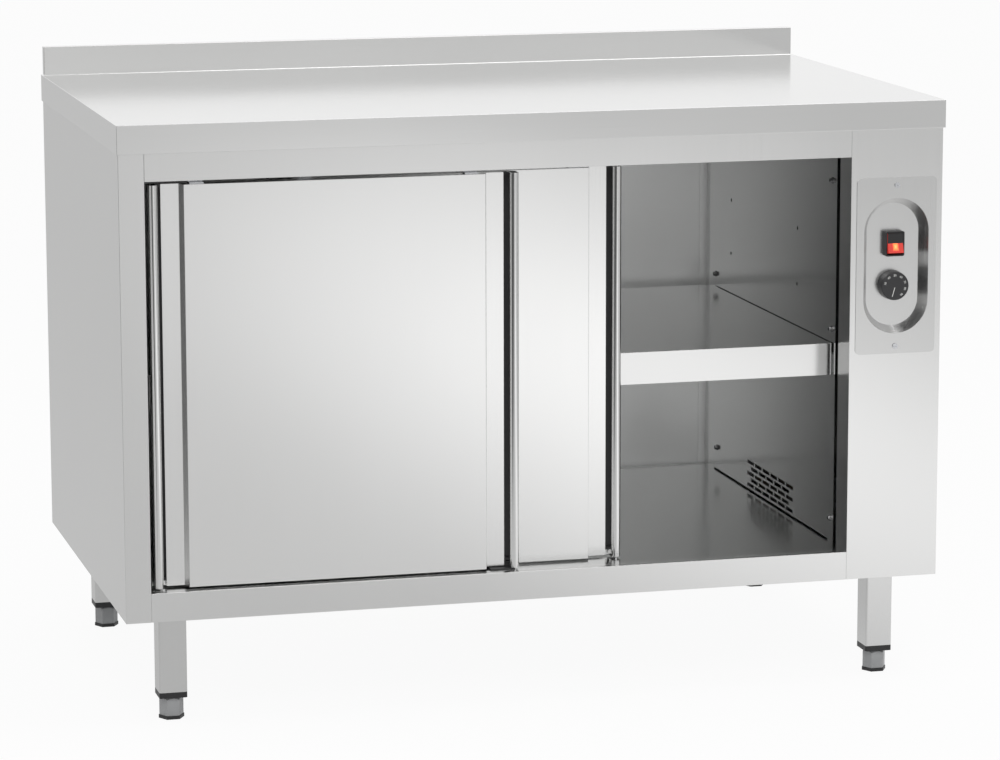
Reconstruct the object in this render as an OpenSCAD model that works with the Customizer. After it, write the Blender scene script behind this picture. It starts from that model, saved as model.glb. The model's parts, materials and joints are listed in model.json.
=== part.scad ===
// Plate warmer cabinet: stainless steel worktop on a heated cupboard with two hanging sliding doors,
// one shelf, a fan heater in a side bay and a recessed control plate.
// X runs along the front, Y from the front to the back, Z up. The origin is on the floor under the middle.

/* [Worktop] */
// Width of the worktop
top_w = 1200; // [1000:10:1600]
// Depth of the worktop
top_d = 700; // [600:10:800]
// Height of the worktop above the floor
top_h = 850; // [800:5:950]
// Height of the worktop's folded edge
top_edge_h = 40; // [30:1:60]
// Sheet thickness of the worktop
top_sheet = 1.5; // [1:0.1:2]
// Width of the flange folded in under the worktop
top_return = 18; // [12:1:30]
// Height of the upstand above the worktop
upstand_h = 43; // [25:1:100]
// Depth of the upstand
upstand_t = 15; // [10:1:25]
// Distance of the upstand's ends from the worktop's ends
upstand_end = 3; // [0:1:10]
// Width of a stiffening channel under the worktop
stiffener_w = 70; // [40:5:120]

/* [Body] */
// Distance of the body's sides from the worktop's ends
body_side_inset = 2; // [0:0.5:10]
// Distance of the body's front from the worktop's front
body_front_inset = 5; // [2:0.5:20]
// Distance of the body's back from the worktop's back
body_back_inset = 2; // [0:0.5:10]
// Height of the body's underside above the floor
under_h = 153; // [120:1:220]
// Sheet thickness of the body
sheet = 1.2; // [0.8:0.1:2]
// Width of the left stile
stile_w = 36; // [30:1:60]
// Height of the rail over the doors
top_rail_h = 39; // [36:1:60]
// Height of the rail under the doors
bottom_rail_h = 41; // [34:1:60]
// Width of the control fascia
fascia_w = 138; // [130:1:200]
// Depth of the door jamb folded back from the fascia
jamb_d = 48; // [46:1:60]
// Width of the small folds of the front frame and the side panels
fold_w = 13; // [8:1:14]
// Gap between the jamb and the partition behind it
partition_gap = 13; // [8:1:20]
// Space between the inner and the outer back
back_space = 6.6; // [4:0.2:30]
// Clearance round the insulation
insulation_clear = 0.5; // [0.2:0.1:2]

/* [Doors] */
// Width of a door
door_w = 526.5; // [510:0.5:560]
// Thickness of a door
door_t = 23; // [21:0.5:26]
// Distance of the front door behind the body's front
door_setback = 15; // [14:0.5:20]
// Distance from one door to the next, front to front
door_pitch = 30; // [28:0.5:40]
// Gap under the doors
door_floor_gap = 3; // [2.5:0.5:6]
// Gap over the doors
door_head_gap = 7; // [5:0.5:10]
// Sheet thickness of the doors
door_sheet = 1; // [0.8:0.1:1.5]
// Distance that the rear door stands open
rear_door_open = 320.5; // [0:0.5:400]
// Gap left beside a door at each end of its run
door_end_gap = 8; // [5:0.5:12]
// Width of the round bar along a door's edge
grip_bar_w = 13; // [10:0.5:16]
// Distance that the bar stands proud of the door's panel
grip_bar_proud = 1.5; // [0:0.5:3]
// Width of the deep groove beside the bar
grip_groove_w = 6; // [4:0.5:10]
// Width of the finger recess floor
grip_floor_w = 26; // [20:1:40]
// Depth of the finger recess
grip_recess_d = 15; // [8:0.5:15]
// Run of the sloping wall of the finger recess
grip_slope_w = 4; // [2:0.5:8]

/* [Door gear] */
// Diameter of a roller
roller_d = 22; // [18:0.5:24]
// Width of a roller
roller_w = 8; // [6:0.5:8.5]
// Diameter of a roller's axle
roller_axle_d = 5; // [4:0.5:6]
// Running clearance of a roller on its axle, on the radius
roller_fit = 0.05; // [0.02:0.01:0.1]
// Distance from a door's edge to the middle of its hanger
hanger_inset = 68; // [64:1:120]
// Width of a hanger
hanger_w = 20; // [14:1:30]
// Thickness of a hanger and of the track
gear_t = 2; // [1.5:0.1:2.4]
// Height of a guide fin above the floor
fin_h = 9; // [7:0.5:10]
// Thickness of a guide fin
fin_t = 3; // [2:0.2:3.6]
// Length of the guide block
guide_w = 36; // [20:1:40]

/* [Shelf] */
// Height of the shelf above the floor
shelf_h = 490; // [400:1:600]
// Depth of the shelf
shelf_d = 573; // [450:1:590]
// Height of the shelf's front lip
shelf_lip = 47; // [25:1:60]
// Height of the shelf's side flanges
shelf_flange = 18; // [12:1:24]
// Gap at each end of the shelf
shelf_gap = 2; // [1:0.5:5]
// Gap between the rear door and the shelf
shelf_door_gap = 4; // [3:0.5:10]
// Diameter of the shelf pegs
peg_d = 6; // [5:0.5:8]
// Distance between the rows of peg holes
peg_pitch = 84; // [60:1:100]
// Distance from the shelf's front edge to the first peg
peg_front = 164; // [80:1:200]
// Distance between the pegs of one side
peg_span = 320; // [200:1:360]

/* [Legs] */
// Width of the square leg tube
leg_w = 40; // [30:1:50]
// Wall of the leg tube
leg_wall = 1.5; // [1.2:0.1:3]
// Distance of the legs from the worktop's ends
leg_inset_x = 54; // [52:1:90]
// Distance of the legs from the worktop's front and back
leg_inset_y = 45; // [32:1:80]
// Height of the flange of the leg's plastic end
cap_h = 8; // [5:0.5:12]
// Depth that the plastic end reaches up into the tube
cap_plug_h = 26; // [20:1:40]
// Height of the levelling foot
foot_h = 32; // [25:1:40]
// Size of the foot's hexagon across its flats
foot_af = 30; // [24:1:36]
// Height of the foot's base ring
foot_ring_h = 5; // [3:0.5:8]
// Diameter of the foot's screw
foot_screw_d = 12; // [8:1:16]
// Distance that the foot can be screwed out
foot_travel = 50; // [20:5:60]
// Running clearance of the foot's screw, on the radius
foot_fit = 0.08; // [0.02:0.01:0.1]

/* [Controls] */
// Width of the control plate
plate_w = 121; // [112:1:128]
// Height of the control plate
plate_h = 256; // [230:1:300]
// Distance of the plate's middle below the worktop
plate_drop = 238; // [200:1:320]
// Corner radius of the plate
plate_r = 7; // [3:0.5:14]
// Width of the recess at its mouth
recess_w = 98; // [90:1:104]
// Height of the recess at its mouth
recess_h = 197; // [180:1:210]
// Depth of the recess
recess_d = 17; // [15:0.5:25]
// Run of the recess's sloping wall
recess_slope = 9.5; // [4:0.5:12]
// Height of the rocker switch above the recess's middle
switch_up = 31; // [28:0.5:45]
// Width of the switch housing
switch_w = 28.5; // [26:0.5:34]
// Height of the switch housing
switch_h = 36; // [33:0.5:44]
// Distance that the switch housing stands out
switch_out = 12; // [10:0.5:13]
// Width of the rocker
rocker_w = 23; // [18:0.5:24]
// Height of the rocker
rocker_h = 28.4; // [24:0.2:29]
// Angle that the rocker leans to each side
rocker_tilt = 10; // [6:1:12]
// Distance of the knob below the recess's middle
knob_down = 30; // [28:0.5:45]
// Diameter of the knob
knob_d = 43; // [34:1:50]
// Height of the knob
knob_h = 15; // [11:0.5:16]
// Diameter of the thermostat's shaft
shaft_d = 6; // [4:0.5:8]

/* [Warm air] */
// Width of a vent slot
slot_w = 32; // [20:1:34]
// Height of a vent slot
slot_h = 5.5; // [4:0.5:6.5]
// Distance from one slot to the next
slot_pitch = 37.5; // [36:0.5:45]
// Distance from one row of slots to the next
slot_row_pitch = 9; // [8:0.5:12]
// Slots in a full row
slots_per_row = 6; // [4:1:7]
// Rows of slots
slot_rows = 5; // [3:1:5]
// Height of the lowest row above the cabinet's floor
slot_floor = 9; // [8:0.5:14]
// Distance from the partition's front edge to the first slot
slot_front = 183; // [120:1:240]
// Diameter of the blower's rotor
rotor_d = 46; // [40:1:48]
// Blades of the rotor
rotor_blades = 24; // [12:1:30]
// Diameter of the heater's tube
heater_d = 8; // [6:0.5:9]
// Diameter of the heater's fins
fin_d = 17; // [14:0.5:18]
// Fins on each run of the heater
heater_fins = 18; // [8:1:24]
// Diameter of the fan motor's shaft
motor_shaft_d = 6; // [5:0.5:8]
// Running clearance of the turning shafts, on the radius
shaft_fit = 0.05; // [0.02:0.01:0.1]

/* [Hidden] */
$fn = 48;

// Faces of the body
side_x = top_w / 2 - body_side_inset;
front_y = -top_d / 2 + body_front_inset;
back_y = top_d / 2 - body_back_inset;
under_z = under_h;
head_z = top_h - top_edge_h;

// Edges of the door opening, and of the heated space behind it
open_x0 = -side_x + stile_w;
open_x1 = side_x - fascia_w;
open_z0 = under_z + bottom_rail_h;
open_z1 = head_z - top_rail_h;
partition_y = front_y + jamb_d + partition_gap;
inner_back_y = back_y - 2 * sheet - back_space;
inner_top_z = head_z - sheet;

// Places of the doors
door_h = open_z1 - open_z0 - door_floor_gap - door_head_gap;
door_z = open_z0 + door_floor_gap;
front_door_y = front_y + door_setback;
rear_door_y = front_door_y + door_pitch;
front_door_x = open_x0 + door_end_gap;
rear_door_x = open_x1 - door_end_gap - door_w - rear_door_open;
grip_w = grip_bar_w + grip_groove_w + grip_floor_w;
back_skin_y = door_t - door_sheet;
grip_wall = 1.5;
channel_end = 4;

// Guide groove in the underside of each door, between the recess floor and the back skin
guide_slot = [grip_recess_d + door_sheet, back_skin_y];
guide_slot_h = fin_h - door_floor_gap + 2;

// Door gear, measured from a door's front face and its top edge
hanger_rise = 28;
hanger_y = 16;
roller_y = 5.3;
axle_z = 22;
track_web_y = 2;
track_lip_w = 12.8;
rest_gap = 0.3;
lip_top = door_z + door_h + axle_z - roller_d / 2 - rest_gap;
track_bead = 0.8;
hanger_run_gap = 0.5;

// Shelf and pegs
shelf_y = rear_door_y + door_t + shelf_door_gap;
peg_z = shelf_h - shelf_flange - peg_d / 2;
peg_rows = 3;
peg_out = 10;
peg_fit = 0.05;

// Legs, caps and feet
leg_x = top_w / 2 - leg_inset_x - leg_w / 2;
leg_y = top_d / 2 - leg_inset_y - leg_w / 2;
leg_bottom = foot_h + cap_h;
mount_plate = 66;
mount_t = 5;
leg_bolt_d = 10;
leg_plate_t = 4;
bolt_nut_h = 8;
cap_fit = 0.1;
CORNERS = [[-1, -1], [1, -1], [-1, 1], [1, 1]];

// Controls
control_x = side_x - fascia_w / 2;
control_z = top_h - plate_drop;
plate_t = sheet;
plate_y = front_y - plate_t;
recess_y = front_y - plate_t + recess_d;
recess_clear = 2;
screw_edge = 11;
screw_d = 4;
switch_wall = 2;
switch_deep = 26;
rocker_gap = 0.5;
rocker_pivot = switch_out - 5;
rocker_pin_d = 3;
collar_d = 10;

// Warm air
grille_y = partition_y + slot_front;
grille_l = (slots_per_row - 1) * slot_pitch + slot_w;
grille_z = open_z0 + slot_floor;
bay_x = open_x1 + sheet;
duct_wall = 1.2;
duct_h = (slot_rows - 1) * slot_row_pitch + slot_h + 4;
duct_z = grille_z - slot_h / 2 - 2;
duct_l = 30;
rotor_gap = 2.5;
rotor_x = bay_x + duct_l + rotor_d / 2 + 2;
rotor_z = duct_z + rotor_d / 2 + 6;
end_gap = 3;
rotor_l = grille_l - 2 * end_gap;
motor_l = 44;
bush_l = 6;
heater_x = bay_x + duct_l / 2;
heater_runs = [duct_z + 12, duct_z + duct_h - 12];
gland_d = 16;
gland_x = (bay_x + side_x - sheet) / 2;
gland_y = 200;
terminal_y = 90;

// A span of two places, moved along by start
function span(start, s) = [start + s[0], start + s[1]];

// A span reaching half each way from the middle
function around(middle, half) = [middle - half, middle + half];

// A box given by its ranges along X, Y and Z
module block(x, y, z) {
    translate([x[0], y[0], z[0]])
        cube([x[1] - x[0], y[1] - y[0], z[1] - z[0]]);
}

// Places a shape drawn upright at the front: its own Z points into the cabinet
module facing_in(x, y, z) {
    translate([x, y, z]) rotate([-90, 0, 0]) children();
}

// A cylinder along Y, between two depths
module bar_y(d, x, z, y) {
    facing_in(x, y[0], z) cylinder(d = d, h = y[1] - y[0]);
}

// A cylinder along X, between two places
module bar_x(d, y, z, x) {
    translate([x[0], y, z]) rotate([0, 90, 0]) cylinder(d = d, h = x[1] - x[0]);
}

// A rectangle round the origin with true round corners
module round_rect(w, h, r) {
    square([w - 2 * r, h], center = true);
    square([w, h - 2 * r], center = true);
    for (i = [-1, 1], j = [-1, 1])
        translate([i * (w / 2 - r), j * (h / 2 - r)]) circle(r);
}

// A stadium-shaped block that narrows by slope on every side over its depth
module stadium(w, h, depth, slope) {
    reach = (h - w) / 2;
    for (s = [-1, 1])
        translate([0, s * reach, 0]) cylinder(r1 = w / 2, r2 = w / 2 - slope, h = depth, $fn = 96);
    rotate([90, 0, 0]) translate([0, 0, -reach]) linear_extrude(2 * reach)
        polygon([[-w / 2, 0], [w / 2, 0], [w / 2 - slope, depth], [slope - w / 2, depth]]);
}

// Worktop: folded tray with the upstand along its back
module worktop() {
    x = top_w / 2;
    y = top_d / 2;
    color("gainsboro") difference() {
        union() {
            block([-x, x], [-y, y], [head_z, top_h]);
            block([-x, x] + [upstand_end, -upstand_end], [y - upstand_t, y], [top_h, top_h + upstand_h]);
        }
        block([-x, x] + [top_sheet, -top_sheet], [-y, y] + [top_sheet, -top_sheet],
            [head_z + top_sheet, top_h - top_sheet]);
        block([-x, x] + [top_return, -top_return], [-y, y] + [top_return, -top_return],
            [head_z - 1, head_z + 2 * top_sheet]);
        block([-x, x] + [upstand_end + top_sheet, -upstand_end - top_sheet],
            [y - upstand_t + top_sheet, y - top_sheet],
            [top_h - 2 * top_sheet, top_h + upstand_h - top_sheet]);
    }
}

// Channels that carry the worktop's sheet on the ceiling panel
module worktop_stiffeners() {
    length = top_w - 2 * top_return - 10;
    height = top_edge_h - top_sheet;
    color("silver")
        for (y = [-top_d / 4, 0, top_d / 4])
            difference() {
                block([-length / 2, length / 2], around(y, stiffener_w / 2), [head_z, head_z + height]);
                block([-length, length], around(y, stiffener_w / 2 - top_sheet),
                    [head_z - 1, head_z + height - top_sheet]);
            }
}

// Side panel, folded in at the front, the back and the top
module side_panel(side) {
    x = side * side_x;
    lo = side > 0 ? x - sheet : x;
    fold = side > 0 ? [x - fold_w, x] : [x, x + fold_w];
    color("lightgray") {
        block([lo, lo + sheet], [front_y + sheet, back_y], [under_z, head_z]);
        block(fold, [front_y + sheet, front_y + 2 * sheet], [under_z, head_z]);
        block(fold, [back_y - sheet, back_y], [under_z, head_z]);
    }
}

module left_side_panel() side_panel(-1);
module right_side_panel() side_panel(1);

// Back panel, between the sides and in front of their rear folds
module back_panel() {
    color("lightgray")
        block([-side_x + sheet, side_x - sheet], [back_y - 2 * sheet, back_y - sheet],
            [under_z + sheet, inner_top_z]);
}

// Underside of the body, with the holes for the leg bolts and the cable gland
module underside_panel() {
    color("silver") difference() {
        block([-side_x + sheet, side_x - sheet], [front_y + 2 * sheet, back_y - sheet],
            [under_z, under_z + sheet]);
        for (c = CORNERS)
            translate([c[0] * leg_x, c[1] * leg_y, under_z - 1]) cylinder(d = leg_bolt_d, h = sheet + 2);
        translate([gland_x, gland_y, under_z - 1]) cylinder(d = gland_d, h = sheet + 2);
    }
}

// Left stile of the front frame
module left_stile() {
    color("gainsboro") {
        block([-side_x, open_x0], [front_y, front_y + sheet], [under_z, head_z]);
        block([open_x0 - sheet, open_x0], [front_y + sheet, front_y + fold_w], [open_z0, open_z1]);
    }
}

// Rail over the doors, which hides their track
module top_rail() {
    color("gainsboro") {
        block([open_x0, open_x1], [front_y, front_y + sheet], [open_z1, head_z]);
        block([open_x0, open_x1], [front_y + sheet, front_y + fold_w], [open_z1, open_z1 + sheet]);
    }
}

// Rail under the doors, flush with the cabinet's floor
module bottom_rail() {
    color("gainsboro") {
        block([open_x0, open_x1], [front_y, front_y + sheet], [under_z, open_z0]);
        block([open_x0, open_x1], [front_y + sheet, front_y + fold_w], [open_z0 - sheet, open_z0]);
    }
}

// Control fascia with the door jamb folded back from its left edge
module control_fascia() {
    color("gainsboro") difference() {
        union() {
            block([open_x1, side_x], [front_y, front_y + sheet], [under_z, head_z]);
            block([open_x1, open_x1 + sheet], [front_y, front_y + jamb_d], [open_z0, head_z - sheet]);
        }
        facing_in(control_x, front_y - 1, control_z)
            stadium(recess_w + 2 * recess_clear, recess_h + 2 * recess_clear, sheet + 2, 0);
        for (s = [-1, 1])
            bar_y(screw_d, control_x, control_z + s * (plate_h / 2 - screw_edge), span(front_y, [-1, 3]));
    }
}

// Inner wall on the left, with the peg holes
module inner_left_wall() {
    color("lightgray") difference() {
        block([open_x0 - sheet, open_x0], [front_y + fold_w, inner_back_y], [open_z0, inner_top_z]);
        peg_holes([open_x0 - sheet - 1, open_x0 + 1]);
    }
}

// Rows of holes for the shelf pegs
module peg_holes(x) {
    for (row = [0:peg_rows - 1], y = span(shelf_y + peg_front, [0, peg_span]))
        bar_x(peg_d + 2 * peg_fit, y, peg_z + row * peg_pitch, x);
}

module inner_back_wall() {
    color("lightgray")
        block([open_x0 - sheet, bay_x], [inner_back_y, inner_back_y + sheet], [open_z0, inner_top_z]);
}

module ceiling_panel() {
    color("lightgray")
        block([-side_x + sheet, side_x - sheet], [front_y + 2 * sheet, back_y - sheet],
            [inner_top_z, head_z]);
}

// Floor of the heated space, folded down along both ends
module cabinet_floor() {
    y = [front_y + fold_w, inner_back_y + sheet];
    color("lightgray") {
        block([open_x0 - sheet, bay_x], y, [open_z0 - sheet, open_z0]);
        for (x = [open_x0 - sheet, open_x1])
            block([x, x + sheet], y, [open_z0 - sheet - fold_w, open_z0 - sheet]);
    }
}

// Partition between the heated space and the heater bay, with the brick-laid vent slots
module partition() {
    foot_gap = 2.5;
    corner_w = 12;
    tab = 50;
    color("silver") {
        difference() {
            block([open_x1, bay_x], [partition_y, inner_back_y], [open_z0, inner_top_z]);
            block([open_x1 - 1, bay_x + 1], [partition_y + tab / 2, inner_back_y - tab],
                [open_z0 - 1, open_z0 + foot_gap]);
            for (row = [0:slot_rows - 1])
                vent_row(row);
            peg_holes([open_x1 - 1, bay_x + 1]);
        }
        block([open_x1 - corner_w, open_x1], [inner_back_y - sheet, inner_back_y],
            [open_z0, inner_top_z]);
    }
}

// One row of vent slots: every second row has one slot less and lies half a pitch along
module vent_row(row) {
    odd = row % 2;
    for (i = [0:slots_per_row - 1 - odd])
        block([open_x1 - 1, bay_x + 1], span(grille_y + (i + odd / 2) * slot_pitch, [0, slot_w]),
            around(grille_z + row * slot_row_pitch, slot_h / 2));
}

// Insulation boards in the left wall, the floor and the back
module insulation() {
    g = insulation_clear;
    color("khaki") {
        block([-side_x + sheet, open_x0 - sheet] + [g, -g],
            [front_y + fold_w, back_y - 2 * sheet] + [g, -g], [open_z0, inner_top_z] + [g, -g]);
        block([open_x0, open_x1] + [g, -g], [inner_back_y + sheet, back_y - 2 * sheet] + [g, -g],
            [open_z0, inner_top_z] + [g, -g]);
        difference() {
            block([-side_x + sheet, open_x1] + [g, -g], [front_y + 2 * sheet, back_y - 2 * sheet] + [g, -g],
                [under_z + sheet, open_z0 - sheet - fold_w] + [g, -g]);
            for (s = [-1, 1])
                translate([-leg_x, s * leg_y, under_z + open_z0])
                    cube([mount_plate + 6, mount_plate + 6, 2 * open_z0], center = true);
        }
    }
}

// Rubber stops in the track, which the rollers reach at both ends of each door's run
module track_stops() {
    length = 12;
    height = 14;
    reach = door_end_gap + hanger_inset - roller_d / 2 - rest_gap;
    color("dimgray")
        for (y = [front_door_y, rear_door_y], x = [open_x0 + reach - length, open_x1 - reach])
            block([x, x + length], [y + track_web_y + gear_t, y + track_web_y + track_lip_w - track_bead],
                span(lip_top, [0, height]));
}

// Double top track: a plate with one hooked rail for each door
module door_track() {
    x = [open_x0, open_x1];
    color("darkgray") {
        block(x, [front_door_y + track_web_y, rear_door_y + hanger_y + gear_t + hanger_run_gap],
            [inner_top_z - gear_t, inner_top_z]);
        for (y = [front_door_y + track_web_y, rear_door_y + track_web_y]) {
            block(x, [y, y + gear_t], [lip_top - gear_t, inner_top_z - gear_t]);
            block(x, [y, y + track_lip_w], [lip_top - gear_t, lip_top]);
            block(x, [y + track_lip_w - track_bead, y + track_lip_w], [lip_top, lip_top + 2.5]);
        }
    }
}

// Nylon block on the floor: each door's underside runs over one of its fins
module door_guide() {
    x = front_door_x + door_w - guide_w / 2 - 6;
    length = around(x, guide_w / 2);
    mid = (guide_slot[0] + guide_slot[1]) / 2;
    color("dimgray") {
        block(length, [front_door_y + 3, rear_door_y + door_t], [open_z0, open_z0 + door_floor_gap - 1]);
        for (y = [front_door_y, rear_door_y])
            block(length, around(y + mid, fin_t / 2), [open_z0, open_z0 + fin_h]);
    }
}

// Shelf: a tray turned down, with a deep lip in front and flanges at the ends that rest on the pegs
module shelf() {
    x = [open_x0, open_x1] + [shelf_gap, -shelf_gap];
    y = [shelf_y, shelf_y + shelf_d];
    color("gainsboro") {
        block(x, y, [shelf_h - sheet, shelf_h]);
        block(x, [y[0], y[0] + sheet], [shelf_h - shelf_lip, shelf_h]);
        block(x, [y[0], y[0] + fold_w], span(shelf_h - shelf_lip, [0, sheet]));
        block(x, [y[1] - sheet, y[1]], [shelf_h - shelf_flange, shelf_h]);
        for (e = [x[0], x[1] - sheet])
            block([e, e + sheet], y, [shelf_h - shelf_flange, shelf_h]);
    }
}

// Four pegs that carry the shelf, each with a collar against its wall
module shelf_pegs() {
    collar = shelf_gap - 0.5;
    color("silver")
        for (y = span(shelf_y + peg_front, [0, peg_span])) {
            bar_x(peg_d, y, peg_z, [open_x0 - sheet, open_x0 + peg_out]);
            bar_x(peg_d + 4, y, peg_z, [open_x0, open_x0 + collar]);
            bar_x(peg_d, y, peg_z, [open_x1 - peg_out, bay_x]);
            bar_x(peg_d + 4, y, peg_z, [open_x1 - collar, open_x1]);
        }
}

// Pressed control plate with the long recess for the switch and the knob
module control_plate() {
    color("silver") facing_in(control_x, plate_y, control_z) difference() {
        union() {
            linear_extrude(plate_t) round_rect(plate_w, plate_h, plate_r);
            stadium(recess_w + 2 * plate_t, recess_h + 2 * plate_t, recess_d + plate_t, recess_slope);
        }
        translate([0, 0, -0.01]) stadium(recess_w, recess_h, recess_d + 0.01, recess_slope);
        for (s = [-1, 1])
            translate([0, s * (plate_h / 2 - screw_edge), -1]) cylinder(d = screw_d, h = plate_t + 2);
        translate([0, -switch_up, recess_d])
            cube([switch_w - switch_wall, switch_h - switch_wall, 4 * plate_t], center = true);
        translate([0, knob_down, recess_d - 1]) cylinder(d = collar_d, h = plate_t + 2);
    }
}

// Two pan-head screws that hold the control plate
module plate_screws() {
    head_d = 8;
    head_h = 2;
    slot = 1;
    color("silver")
        for (s = [-1, 1])
            difference() {
                union() {
                    bar_y(head_d, control_x, control_z + s * (plate_h / 2 - screw_edge),
                        span(plate_y, [-head_h, 0]));
                    bar_y(screw_d, control_x, control_z + s * (plate_h / 2 - screw_edge),
                        span(plate_y, [0, 8]));
                }
                translate([control_x, plate_y - head_h, control_z + s * (plate_h / 2 - screw_edge)])
                    cube([head_d + 1, head_h, slot], center = true);
            }
}

// Housing of the rocker switch: proud of the recess in front, with its contacts behind
module switch_housing() {
    z = control_z + switch_up;
    y = recess_y - switch_out;
    cut = [rocker_w / 2 + rocker_gap, switch_h / 2 - switch_wall];
    color("dimgray") difference() {
        union() {
            facing_in(control_x, y, z) linear_extrude(switch_out) round_rect(switch_w, switch_h, 2.5);
            block(around(control_x, (switch_w - switch_wall) / 2), span(recess_y, [0, switch_deep]),
                around(z, (switch_h - switch_wall) / 2));
            for (i = [-1:1])
                block(around(control_x + 7 * i, 0.4), span(recess_y + switch_deep, [0, 9]), around(z, 3));
        }
        block(around(control_x, cut[0]), span(y, [-1, switch_out + 4]), around(z, cut[1]));
        bar_x(rocker_pin_d + 2 * shaft_fit, recess_y - rocker_pivot, z,
            around(control_x, rocker_w / 2 + 1.8));
    }
}

// Rocker, leaning as it does when it is switched on
module switch_rocker() {
    dish = rocker_h / 2 * tan(rocker_tilt);
    face = 5.6;
    color("red")
        translate([control_x, recess_y - rocker_pivot, control_z + switch_up])
            rotate([-rocker_tilt, 0, 0]) {
                rotate([0, -90, 0]) linear_extrude(rocker_w, center = true)
                    polygon([[-rocker_h / 2, -face - dish], [0, -face], [rocker_h / 2, -face - dish],
                        [rocker_h / 2, 3], [-rocker_h / 2, 3]]);
                bar_x(rocker_pin_d, 0, 0, around(0, rocker_w / 2 + 1.5));
            }
}

// Thermostat behind the recess
module thermostat_body() {
    size = 40;
    deep = 26;
    z = control_z - knob_down;
    color("silver") difference() {
        union() {
            facing_in(control_x, recess_y + plate_t, z) linear_extrude(deep) round_rect(size, size, 4);
            bar_y(collar_d, control_x, z, [recess_y, recess_y + plate_t]);
            for (i = [-1, 1])
                block(around(control_x + 10 * i, 3), span(recess_y + plate_t + deep, [0, 8]),
                    around(z - 10, 0.4));
        }
        bar_y(shaft_d + 2 * shaft_fit, control_x, z, span(recess_y, [-1, 14]));
    }
}

// Shaft of the thermostat
module thermostat_shaft() {
    color("silver")
        bar_y(shaft_d, control_x, control_z - knob_down, span(recess_y, [2 - knob_h, 13.5]));
}

// Knob: a thin-walled cap on a hub
module thermostat_knob() {
    gap = 0.6;
    wall = 1.8;
    edge = 1;
    r = knob_d / 2;
    color("black") facing_in(control_x, recess_y - knob_h, control_z - knob_down) difference() {
        rotate_extrude($fn = 96)
            polygon([[0, 0], [r - edge - 0.6, 0], [r - 0.8, edge], [r, knob_h - gap],
                [r - wall, knob_h - gap], [r - wall - 0.6, wall], [7, wall], [7, knob_h - gap],
                [0, knob_h - gap]]);
        translate([0, 0, 2]) cylinder(d = shaft_d, h = knob_h);
    }
}

// Section of the blower's housing wall: a spiral that opens out towards the duct
module volute_section() {
    r0 = rotor_d / 2 + rotor_gap;
    r1 = rotor_z - duct_z;
    steps = 14;
    start = 35;
    turn = 125;
    function spiral(i, grow) = let (a = start - turn * i / steps, r = r0 + (r1 - r0) * i / steps + grow)
        [rotor_x + r * cos(a), rotor_z + r * sin(a)];
    polygon(concat([for (i = [0:steps]) spiral(i, 0)], [[bay_x, duct_z]],
        [[bay_x, duct_z - duct_wall]], [for (i = [steps:-1:0]) spiral(i, duct_wall)]));
}

// Blower housing: spiral wall, tongue and end plates, closed round the heater's duct
module blower_housing() {
    y = [grille_y, grille_y + grille_l];
    into_ends = [y[0] - duct_wall / 2, y[1] + duct_wall / 2];
    top = duct_z + duct_h;
    flange = 8;
    plate_top = rotor_z + rotor_d / 2 + 2;
    color("silver") {
        translate([0, into_ends[1], 0]) rotate([90, 0, 0])
            linear_extrude(grille_l + duct_wall) volute_section();
        block([bay_x, bay_x + duct_l], into_ends, [top, top + duct_wall]);
        block([bay_x, bay_x + duct_wall], y, [top, top + flange]);
        for (e = [y[0] - duct_wall, y[1]])
            difference() {
                block([bay_x, rotor_x + rotor_d / 2 + 12], [e, e + duct_wall],
                    [duct_z - duct_wall, plate_top]);
                bar_y(motor_shaft_d + 2 * shaft_fit, rotor_x, rotor_z, span(e, [-1, 3]));
                if (e > y[0])
                    for (z = heater_runs)
                        bar_y(heater_d + 0.2, heater_x, z, span(e, [-1, 3]));
            }
        for (e = [[y[0] - duct_wall - flange, y[0]], [y[1], y[1] + duct_wall + flange]])
            block([bay_x, bay_x + duct_wall], e, [duct_z, top]);
    }
}

// Crossflow rotor on its shaft: curved blades between end discs
module blower_rotor() {
    y0 = grille_y + end_gap;
    disc = 1.5;
    blade_in = 0.72;
    color("silver") translate([rotor_x, y0, rotor_z]) rotate([-90, 0, 0]) {
        for (z = [0, rotor_l / 2 - disc / 2, rotor_l - disc])
            translate([0, 0, z]) cylinder(d = rotor_d, h = disc);
        linear_extrude(rotor_l)
            for (i = [0:rotor_blades - 1])
                rotate(i * 360 / rotor_blades) rotor_blade(rotor_d / 2 * blade_in, rotor_d / 2 - 0.4);
        translate([0, 0, -end_gap - bush_l])
            cylinder(d = motor_shaft_d, h = rotor_l + 2 * end_gap + bush_l + motor_l - 4);
    }
}

// Section of one blade: a thin arc from the inner to the outer radius
module rotor_blade(r_in, r_out) {
    steps = 5;
    sweep = 16;
    thick = 0.7;
    function at(t, side) = let (r = r_in + (r_out - r_in) * t, a = sweep * t * t)
        [r * cos(a) - side * sin(a), r * sin(a) + side * cos(a)];
    polygon(concat([for (i = [0:steps]) at(i / steps, thick / 2)],
        [for (i = [steps:-1:0]) at(i / steps, -thick / 2)]));
}

// Fan motor: a stack of plates with its coil, between two bearing bridges
module blower_motor() {
    y = grille_y + grille_l + duct_wall;
    stack = 50;
    stack_l = 20;
    color("gray") difference() {
        union() {
            facing_in(rotor_x, y + 12, rotor_z) linear_extrude(stack_l) round_rect(stack, stack, 5);
            for (e = [y, y + 12 + stack_l])
                facing_in(rotor_x, e, rotor_z)
                    linear_extrude(motor_l - 12 - stack_l) round_rect(stack, 16, 6);
            block(around(rotor_x, 14), span(y + 10, [0, stack_l + 4]), span(rotor_z + stack / 2, [0, 12]));
        }
        bar_y(motor_shaft_d + 2 * shaft_fit, rotor_x, rotor_z, span(y, [-1, motor_l - bush_l / 2]));
    }
}

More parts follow.
